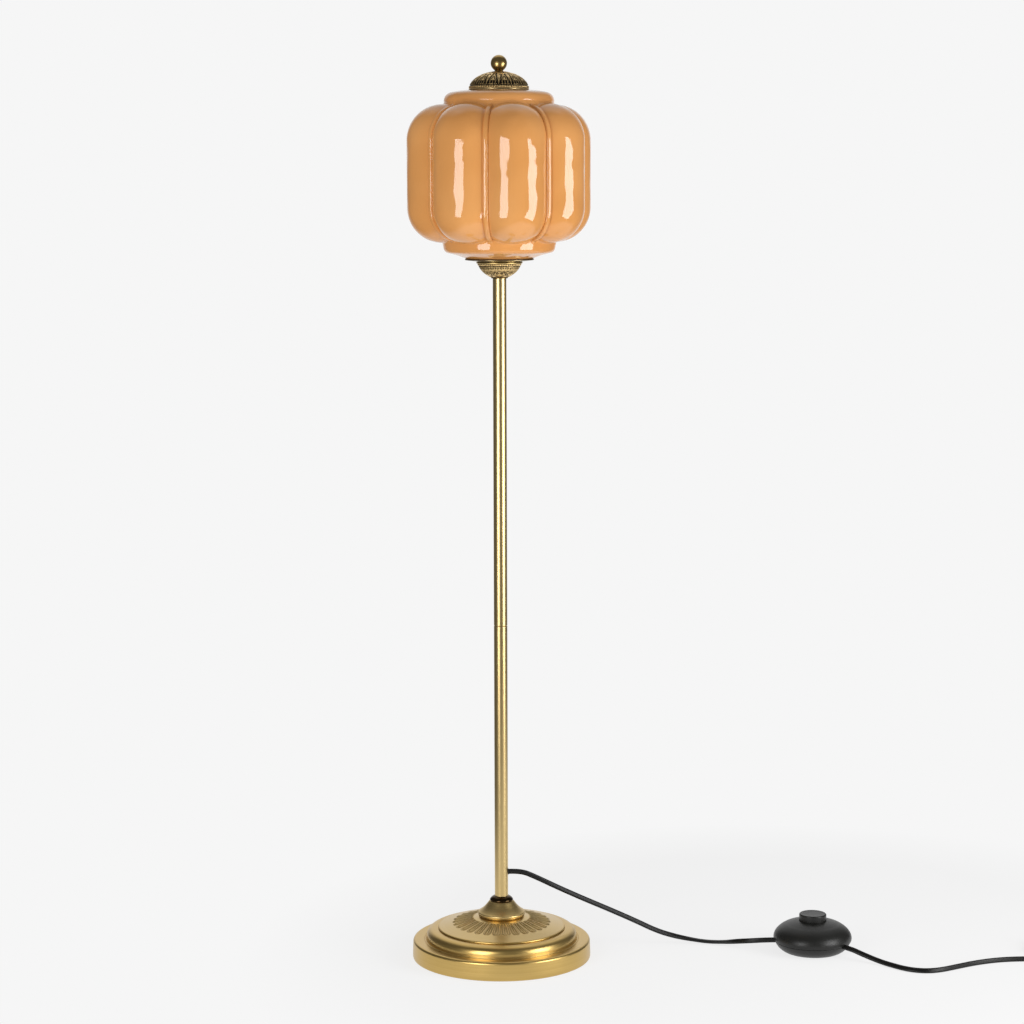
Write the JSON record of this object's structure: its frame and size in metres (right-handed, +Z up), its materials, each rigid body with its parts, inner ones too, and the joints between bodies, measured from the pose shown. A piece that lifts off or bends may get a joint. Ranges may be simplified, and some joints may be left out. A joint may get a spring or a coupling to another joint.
{
  "type": "floor lamp",
  "caption": "Floor lamp with a lobed amber glass shade on a brass pole and weighted round base, with an inline foot switch and a plugged cord.",
  "frame": {"origin": "centre of the base's underside, on the floor", "axes": "+Z up the pole, -Y towards the viewer, +X to the side where the cord leaves"},
  "size_m": [1.1625, 0.279, 1.4003],
  "materials": {
    "glass_amber": "gloss",
    "brass_polished": "polished",
    "brass_satin": "satin",
    "brass_antique": "antique",
    "brass_plain": "machined",
    "iron": "rough",
    "felt": "felt",
    "rubber_black": "matte",
    "cord_black": "satin",
    "switch_black": "satin",
    "insulator_white": "gloss",
    "steel": "zinc plated",
    "bulb_frosted": "frosted",
    "bulb_metal": "bright"
  },
  "bodies": {
    "stand": {"top_cap": "brass_antique", "glass_shade": "glass_amber", "shade_dish": "brass_satin", "shade_cup": "brass_antique", "upper_pole": "brass_polished", "lower_pole": "brass_polished", "foot_ring": "brass_antique", "foot_cone": "brass_polished", "base_shell": "brass_satin", "cord_grommet": "rubber_black", "cord_to_switch": "cord_black", "switch_cover": "switch_black", "switch_base": "switch_black", "cord_from_switch": "cord_black", "cap_gasket": "rubber_black", "shade_gasket": "rubber_black", "harp_bow": "brass_plain", "harp_hub": "brass_plain", "harp_saddle": "brass_plain", "harp_ferrules": "brass_plain", "harp_spacer": "brass_plain", "shade_nipple": "steel", "shade_locknut": "steel", "holder_cap": "brass_plain", "holder_sleeve": "brass_plain", "holder_insulator": "insulator_white", "screw_shell": "brass_plain", "centre_contact": "brass_plain", "pole_top_bush": "steel", "upper_pole_bush": "steel", "lower_pole_bush": "steel", "pole_foot_bush": "steel", "pole_stud": "steel", "base_stud": "steel", "base_washer": "steel", "base_nut": "steel", "base_weight": "iron", "base_pad": "felt", "inner_lead": "cord_black", "return_spring": "steel", "contact_strips": "brass_plain", "switch_wires": "cord_black", "cord_clamps": "switch_black", "clamp_screws": "steel", "shell_screws": "steel", "switch_feet": "rubber_black", "housing_lid": "insulator_white", "cord_coil": "cord_black", "cord_tie": "rubber_black", "cord_to_plug": "cord_black", "plug_body": "rubber_black", "plug_blades": "brass_plain"},
    "finial": {"finial": "brass_polished"},
    "bulb": {"bulb_glass": "bulb_frosted", "bulb_cap": "bulb_metal", "bulb_stem": "insulator_white"},
    "button": {"switch_button": "switch_black"},
    "rotor": {"ratchet_rotor": "insulator_white", "rotor_contact": "brass_plain"}
  },
  "joints": [
    {"name": "finial_turn", "type": "hinge", "parent": "stand", "child": "finial", "pos_m": [0, 0, 1.388], "axis": [0, 0, 1], "continuous": true},
    {"name": "bulb_turn", "type": "hinge", "parent": "stand", "child": "bulb", "pos_m": [0, 0, 1.14], "axis": [0, 0, 1], "continuous": true},
    {"name": "button_press", "type": "slide", "parent": "stand", "child": "button", "axis": [0, 0, -1], "range_m": [0, 0.004], "stiffness_N_per_m": 1500, "springref_m": -0.004, "deforming": ["return_spring"]},
    {"name": "ratchet_turn", "type": "hinge", "parent": "stand", "child": "rotor", "pos_m": [0.492, 0.022, 0.011], "axis": [0, 0, 1], "range_deg": [0, 45]}
  ],
  "couplings": [
    {"joint": "ratchet_turn", "follows": "button_press", "rad_per_m": 196.35}
  ]
}
